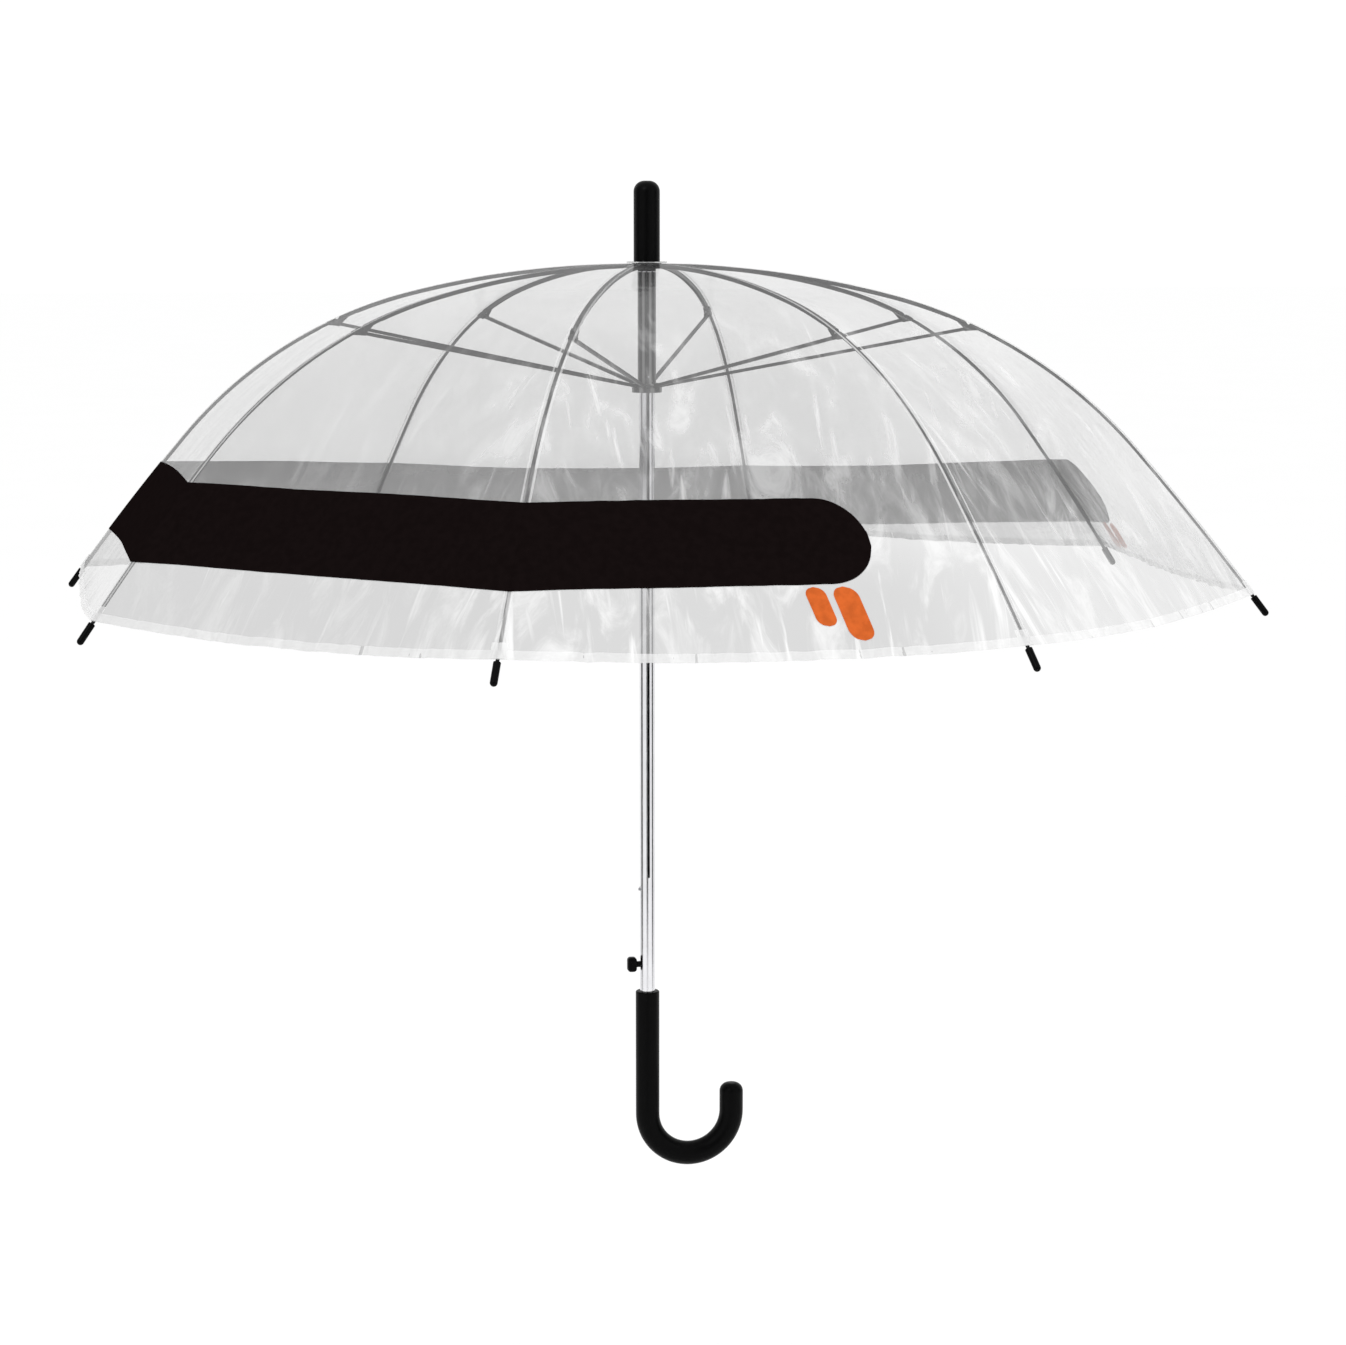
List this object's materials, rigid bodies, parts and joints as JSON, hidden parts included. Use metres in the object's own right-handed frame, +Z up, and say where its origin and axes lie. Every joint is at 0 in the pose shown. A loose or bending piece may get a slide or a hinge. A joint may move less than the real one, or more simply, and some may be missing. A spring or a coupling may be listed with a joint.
{
  "type": "umbrella",
  "caption": "Clear dome stick umbrella, open, with ribs, stretchers, sliding runner, push-button catch, film gores and a crook handle.",
  "frame": {"origin": "middle of the straight grip, on the shaft's axis", "axes": "+Z up the shaft to the ferrule, +X from the shaft towards the crook's arm, button at -X, drive slot at -Y"},
  "size_m": [0.9614, 0.9614, 0.8479],
  "materials": {
    "film": "gloss",
    "steel_dark": "satin",
    "chrome": "polished",
    "black_plastic": "gloss",
    "dark_plastic": "satin",
    "spring_steel": "satin"
  },
  "bodies": {
    "shaft": {"shaft_tube": "chrome", "ferrule": "black_plastic", "crown": "dark_plastic", "crown_wire": "spring_steel", "canopy_washer": "film", "handle": "black_plastic", "opening_spring": "spring_steel"},
    "catch": {"catch_button": "black_plastic", "catch_leaf": "spring_steel"},
    "runner": {"runner": "dark_plastic", "runner_wire": "spring_steel", "plunger": "spring_steel"},
    "rib_1": {"rib_1": "steel_dark", "film_upper_1": "film"},
    "rod_1": {"rib_rod_1": "steel_dark", "rib_tip_1": "black_plastic", "film_lower_1": "film"},
    "stretcher_1": {"stretcher_1": "steel_dark"},
    "rib_2": {"rib_2": "steel_dark", "film_upper_2": "film"},
    "rod_2": {"rib_rod_2": "steel_dark", "rib_tip_2": "black_plastic", "film_lower_2": "film"},
    "stretcher_2": {"stretcher_2": "steel_dark"},
    "rib_3": {"rib_3": "steel_dark", "film_upper_3": "film"},
    "rod_3": {"rib_rod_3": "steel_dark", "rib_tip_3": "black_plastic", "film_lower_3": "film"},
    "stretcher_3": {"stretcher_3": "steel_dark"},
    "rib_4": {"rib_4": "steel_dark", "film_upper_4": "film"},
    "rod_4": {"rib_rod_4": "steel_dark", "rib_tip_4": "black_plastic", "film_lower_4": "film"},
    "stretcher_4": {"stretcher_4": "steel_dark"},
    "rib_5": {"rib_5": "steel_dark", "film_upper_5": "film"},
    "rod_5": {"rib_rod_5": "steel_dark", "rib_tip_5": "black_plastic", "film_lower_5": "film"},
    "stretcher_5": {"stretcher_5": "steel_dark"},
    "rib_6": {"rib_6": "steel_dark", "film_upper_6": "film"},
    "rod_6": {"rib_rod_6": "steel_dark", "rib_tip_6": "black_plastic", "film_lower_6": "film"},
    "stretcher_6": {"stretcher_6": "steel_dark"},
    "rib_7": {"rib_7": "steel_dark", "film_upper_7": "film"},
    "rod_7": {"rib_rod_7": "steel_dark", "rib_tip_7": "black_plastic", "film_lower_7": "film"},
    "stretcher_7": {"stretcher_7": "steel_dark"},
    "rib_8": {"rib_8": "steel_dark", "film_upper_8": "film"},
    "rod_8": {"rib_rod_8": "steel_dark", "rib_tip_8": "black_plastic", "film_lower_8": "film"},
    "stretcher_8": {"stretcher_8": "steel_dark"}
  },
  "joints": [
    {"name": "fold", "type": "hinge", "parent": "shaft", "child": "rib_1", "pos_m": [0.00887, 0.00367, 0.6755], "axis": [-0.3827, 0.9239, 0], "range_deg": [0, 76.55], "stiffness_Nm_per_rad": 0.28, "springref_deg": -103.13, "deforming": ["opening_spring", "film_upper_1", "film_upper_2", "film_upper_3", "film_upper_4", "film_upper_5", "film_upper_6", "film_upper_7", "film_upper_8", "film_lower_1", "film_lower_2", "film_lower_3", "film_lower_4", "film_lower_5", "film_lower_6", "film_lower_7", "film_lower_8"]},
    {"name": "rod_1_flex", "type": "hinge", "parent": "rib_1", "child": "rod_1", "pos_m": [0.24844, 0.10291, 0.62531], "axis": [-0.3827, 0.9239, 0], "range_deg": [-29.72, 0]},
    {"name": "stretcher_1_swing", "type": "hinge", "parent": "rib_1", "child": "stretcher_1", "pos_m": [0.24844, 0.10291, 0.62531], "axis": [-0.3827, 0.9239, 0], "range_deg": [-153.1, 0]},
    {"name": "rib_2_fold", "type": "hinge", "parent": "shaft", "child": "rib_2", "pos_m": [0.00367, 0.00887, 0.6755], "axis": [-0.9239, 0.3827, 0], "range_deg": [0, 76.55], "stiffness_Nm_per_rad": 0.28, "springref_deg": -103.13},
    {"name": "rod_2_flex", "type": "hinge", "parent": "rib_2", "child": "rod_2", "pos_m": [0.10291, 0.24844, 0.62531], "axis": [-0.9239, 0.3827, 0], "range_deg": [-29.72, 0]},
    {"name": "stretcher_2_swing", "type": "hinge", "parent": "rib_2", "child": "stretcher_2", "pos_m": [0.10291, 0.24844, 0.62531], "axis": [-0.9239, 0.3827, 0], "range_deg": [-153.1, 0]},
    {"name": "rib_3_fold", "type": "hinge", "parent": "shaft", "child": "rib_3", "pos_m": [-0.00367, 0.00887, 0.6755], "axis": [-0.9239, -0.3827, 0], "range_deg": [0, 76.55], "stiffness_Nm_per_rad": 0.28, "springref_deg": -103.13},
    {"name": "rod_3_flex", "type": "hinge", "parent": "rib_3", "child": "rod_3", "pos_m": [-0.10291, 0.24844, 0.62531], "axis": [-0.9239, -0.3827, 0], "range_deg": [-29.72, 0]},
    {"name": "stretcher_3_swing", "type": "hinge", "parent": "rib_3", "child": "stretcher_3", "pos_m": [-0.10291, 0.24844, 0.62531], "axis": [-0.9239, -0.3827, 0], "range_deg": [-153.1, 0]},
    {"name": "rib_4_fold", "type": "hinge", "parent": "shaft", "child": "rib_4", "pos_m": [-0.00887, 0.00367, 0.6755], "axis": [-0.3827, -0.9239, 0], "range_deg": [0, 76.55], "stiffness_Nm_per_rad": 0.28, "springref_deg": -103.13},
    {"name": "rod_4_flex", "type": "hinge", "parent": "rib_4", "child": "rod_4", "pos_m": [-0.24844, 0.10291, 0.62531], "axis": [-0.3827, -0.9239, 0], "range_deg": [-29.72, 0]},
    {"name": "stretcher_4_swing", "type": "hinge", "parent": "rib_4", "child": "stretcher_4", "pos_m": [-0.24844, 0.10291, 0.62531], "axis": [-0.3827, -0.9239, 0], "range_deg": [-153.1, 0]},
    {"name": "rib_5_fold", "type": "hinge", "parent": "shaft", "child": "rib_5", "pos_m": [-0.00887, -0.00367, 0.6755], "axis": [0.3827, -0.9239, 0], "range_deg": [0, 76.55], "stiffness_Nm_per_rad": 0.28, "springref_deg": -103.13},
    {"name": "rod_5_flex", "type": "hinge", "parent": "rib_5", "child": "rod_5", "pos_m": [-0.24844, -0.10291, 0.62531], "axis": [0.3827, -0.9239, 0], "range_deg": [-29.72, 0]},
    {"name": "stretcher_5_swing", "type": "hinge", "parent": "rib_5", "child": "stretcher_5", "pos_m": [-0.24844, -0.10291, 0.62531], "axis": [0.3827, -0.9239, 0], "range_deg": [-153.1, 0]},
    {"name": "rib_6_fold", "type": "hinge", "parent": "shaft", "child": "rib_6", "pos_m": [-0.00367, -0.00887, 0.6755], "axis": [0.9239, -0.3827, 0], "range_deg": [0, 76.55], "stiffness_Nm_per_rad": 0.28, "springref_deg": -103.13},
    {"name": "rod_6_flex", "type": "hinge", "parent": "rib_6", "child": "rod_6", "pos_m": [-0.10291, -0.24844, 0.62531], "axis": [0.9239, -0.3827, 0], "range_deg": [-29.72, 0]},
    {"name": "stretcher_6_swing", "type": "hinge", "parent": "rib_6", "child": "stretcher_6", "pos_m": [-0.10291, -0.24844, 0.62531], "axis": [0.9239, -0.3827, 0], "range_deg": [-153.1, 0]},
    {"name": "rib_7_fold", "type": "hinge", "parent": "shaft", "child": "rib_7", "pos_m": [0.00367, -0.00887, 0.6755], "axis": [0.9239, 0.3827, 0], "range_deg": [0, 76.55], "stiffness_Nm_per_rad": 0.28, "springref_deg": -103.13},
    {"name": "rod_7_flex", "type": "hinge", "parent": "rib_7", "child": "rod_7", "pos_m": [0.10291, -0.24844, 0.62531], "axis": [0.9239, 0.3827, 0], "range_deg": [-29.72, 0]},
    {"name": "stretcher_7_swing", "type": "hinge", "parent": "rib_7", "child": "stretcher_7", "pos_m": [0.10291, -0.24844, 0.62531], "axis": [0.9239, 0.3827, 0], "range_deg": [-153.1, 0]},
    {"name": "rib_8_fold", "type": "hinge", "parent": "shaft", "child": "rib_8", "pos_m": [0.00887, -0.00367, 0.6755], "axis": [0.3827, 0.9239, 0], "range_deg": [0, 76.55], "stiffness_Nm_per_rad": 0.28, "springref_deg": -103.13},
    {"name": "rod_8_flex", "type": "hinge", "parent": "rib_8", "child": "rod_8", "pos_m": [0.24844, -0.10291, 0.62531], "axis": [0.3827, 0.9239, 0], "range_deg": [-29.72, 0]},
    {"name": "stretcher_8_swing", "type": "hinge", "parent": "rib_8", "child": "stretcher_8", "pos_m": [0.24844, -0.10291, 0.62531], "axis": [0.3827, 0.9239, 0], "range_deg": [-153.1, 0]},
    {"name": "runner_turn", "type": "hinge", "parent": "stretcher_1", "child": "runner", "pos_m": [0.00887, 0.00367, 0.57512], "axis": [-0.3827, 0.9239, 0], "range_deg": [0, 76.56]},
    {"name": "catch_press", "type": "slide", "parent": "shaft", "child": "catch", "axis": [1, 0, 0], "range_m": [0, 0.003], "stiffness_N_per_m": 600, "springref_m": -0.001}
  ],
  "couplings": [
    {"joint": "rod_1_flex", "follows": "fold", "ratio": -0.38811},
    {"joint": "stretcher_1_swing", "follows": "fold", "ratio": -2},
    {"joint": "rib_2_fold", "follows": "fold", "ratio": 1},
    {"joint": "rod_2_flex", "follows": "fold", "ratio": -0.38811},
    {"joint": "stretcher_2_swing", "follows": "fold", "ratio": -2},
    {"joint": "rib_3_fold", "follows": "fold", "ratio": 1},
    {"joint": "rod_3_flex", "follows": "fold", "ratio": -0.38811},
    {"joint": "stretcher_3_swing", "follows": "fold", "ratio": -2},
    {"joint": "rib_4_fold", "follows": "fold", "ratio": 1},
    {"joint": "rod_4_flex", "follows": "fold", "ratio": -0.38811},
    {"joint": "stretcher_4_swing", "follows": "fold", "ratio": -2},
    {"joint": "rib_5_fold", "follows": "fold", "ratio": 1},
    {"joint": "rod_5_flex", "follows": "fold", "ratio": -0.38811},
    {"joint": "stretcher_5_swing", "follows": "fold", "ratio": -2},
    {"joint": "rib_6_fold", "follows": "fold", "ratio": 1},
    {"joint": "rod_6_flex", "follows": "fold", "ratio": -0.38811},
    {"joint": "stretcher_6_swing", "follows": "fold", "ratio": -2},
    {"joint": "rib_7_fold", "follows": "fold", "ratio": 1},
    {"joint": "rod_7_flex", "follows": "fold", "ratio": -0.38811},
    {"joint": "stretcher_7_swing", "follows": "fold", "ratio": -2},
    {"joint": "rib_8_fold", "follows": "fold", "ratio": 1},
    {"joint": "rod_8_flex", "follows": "fold", "ratio": -0.38811},
    {"joint": "stretcher_8_swing", "follows": "fold", "ratio": -2},
    {"joint": "runner_turn", "follows": "fold", "ratio": 1}
  ]
}
